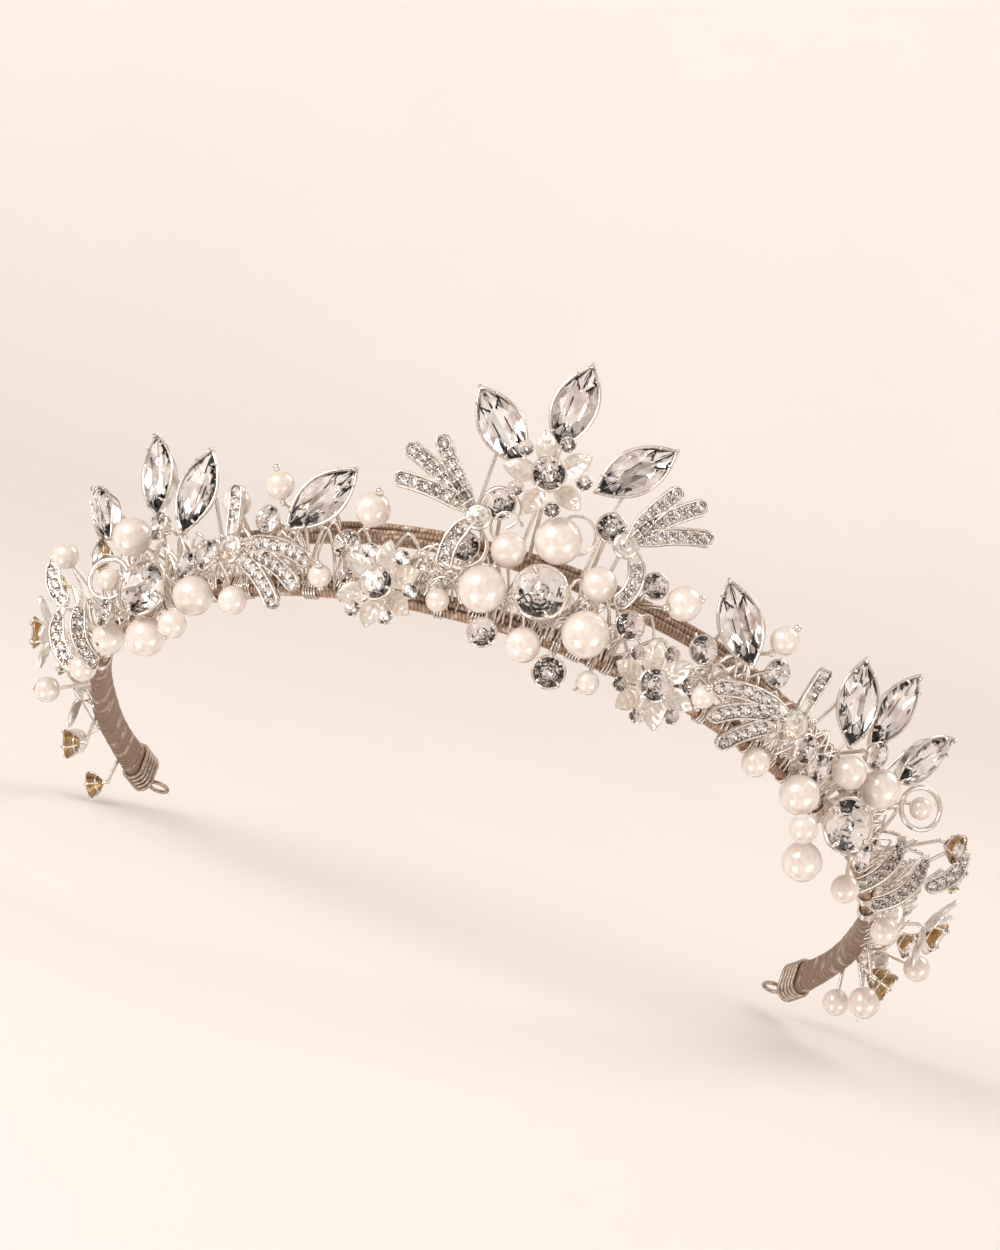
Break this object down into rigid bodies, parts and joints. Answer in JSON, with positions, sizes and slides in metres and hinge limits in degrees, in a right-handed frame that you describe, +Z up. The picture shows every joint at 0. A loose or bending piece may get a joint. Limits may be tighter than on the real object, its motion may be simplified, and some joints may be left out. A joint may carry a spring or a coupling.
{
  "type": "bridal tiara",
  "caption": "Wire and pearl bridal tiara: two thread-wrapped rails carry pearls, clear stones, pointed leaves and stone-set bows, with an eyelet at each end.",
  "frame": {"origin": "centre of the ring that the two wrapped rails follow, between the temples, at the bottom of the rails", "axes": "+Z up as worn, with the front of the ring raised 32 degrees; -Y towards the front, where the crest is; +X towards the side on the right of the front view"},
  "size_m": [0.1814, 0.1092, 0.1086],
  "materials": {
    "silver": "bright silver plating on wire, cups and stamped leaves",
    "thread_wrap": "fine champagne-brown thread with a silver glint, wound over wire",
    "pearl": "cream imitation pearl with a nacre coat",
    "crystal": "clear faceted stones with silver backs"
  },
  "bodies": {
    "tiara": {"upper_core_wires": "silver", "lower_core_wires": "silver", "upper_rail_wrap": "thread_wrap", "lower_rail_wrap": "thread_wrap", "right_end_wrap": "thread_wrap", "left_end_wrap": "thread_wrap", "right_end_coil": "silver", "left_end_coil": "silver", "right_end_loop": "silver", "left_end_loop": "silver", "crest_flower": "silver", "crest_navettes": "crystal", "crest_navette_settings": "silver", "centre_pearls": "pearl", "centre_main_stone": "crystal", "centre_main_cup": "silver", "centre_chatons": "crystal", "centre_chaton_cups": "silver", "centre_wire_ring": "silver", "centre_stems": "silver", "right_fan": "silver", "left_fan": "silver", "right_fan_stones": "crystal", "left_fan_stones": "crystal", "right_flower": "silver", "left_flower": "silver", "right_bow": "silver", "left_bow": "silver", "right_bow_stones": "crystal", "left_bow_stones": "crystal", "right_navettes": "crystal", "left_navettes": "crystal", "right_navette_settings": "silver", "left_navette_settings": "silver", "right_pearls": "pearl", "left_pearls": "pearl", "right_cluster_stone": "crystal", "left_cluster_stone": "crystal", "right_cluster_cup": "silver", "left_cluster_cup": "silver", "right_chatons": "crystal", "left_chatons": "crystal", "right_chaton_cups": "silver", "left_chaton_cups": "silver", "right_stems": "silver", "left_stems": "silver", "right_pearl_ring": "silver", "left_pearl_ring": "silver", "right_rear_loops": "silver", "left_rear_loops": "silver", "right_rear_flowers": "silver", "left_rear_flowers": "silver", "right_rear_pearls": "pearl", "left_rear_pearls": "pearl"},
    "right_free_pearl_inner": {"right_free_pearl_inner": "pearl"},
    "left_free_pearl_inner": {"left_free_pearl_inner": "pearl"},
    "right_free_pearl_outer": {"right_free_pearl_outer": "pearl"},
    "left_free_pearl_outer": {"left_free_pearl_outer": "pearl"},
    "right_free_pearl_small": {"right_free_pearl_small": "pearl"},
    "left_free_pearl_small": {"left_free_pearl_small": "pearl"}
  },
  "joints": [
    {"name": "right_inner_pearl_turn", "type": "hinge", "parent": "tiara", "child": "right_free_pearl_inner", "pos_m": [0.02652, -0.06366, 0.05216], "axis": [0.7286, 0.5414, 0.4197], "continuous": true},
    {"name": "left_inner_pearl_turn", "type": "hinge", "parent": "tiara", "child": "left_free_pearl_inner", "pos_m": [-0.02762, -0.06245, 0.0514], "axis": [0.089, -0.3516, 0.9319], "continuous": true},
    {"name": "right_outer_pearl_turn", "type": "hinge", "parent": "tiara", "child": "right_free_pearl_outer", "pos_m": [0.04434, -0.05517, 0.05098], "axis": [0.4749, 0.0155, 0.8799], "continuous": true},
    {"name": "left_outer_pearl_turn", "type": "hinge", "parent": "tiara", "child": "left_free_pearl_outer", "pos_m": [-0.04489, -0.05497, 0.05027], "axis": [-0.4788, 0.019, 0.8777], "continuous": true},
    {"name": "right_small_pearl_turn", "type": "hinge", "parent": "tiara", "child": "right_free_pearl_small", "pos_m": [0.03419, -0.06442, 0.03849], "axis": [0.2258, -0.5967, 0.77], "continuous": true},
    {"name": "left_small_pearl_turn", "type": "hinge", "parent": "tiara", "child": "left_free_pearl_small", "pos_m": [-0.0328, -0.063, 0.03819], "axis": [-0.2178, -0.5984, 0.7711], "continuous": true}
  ]
}
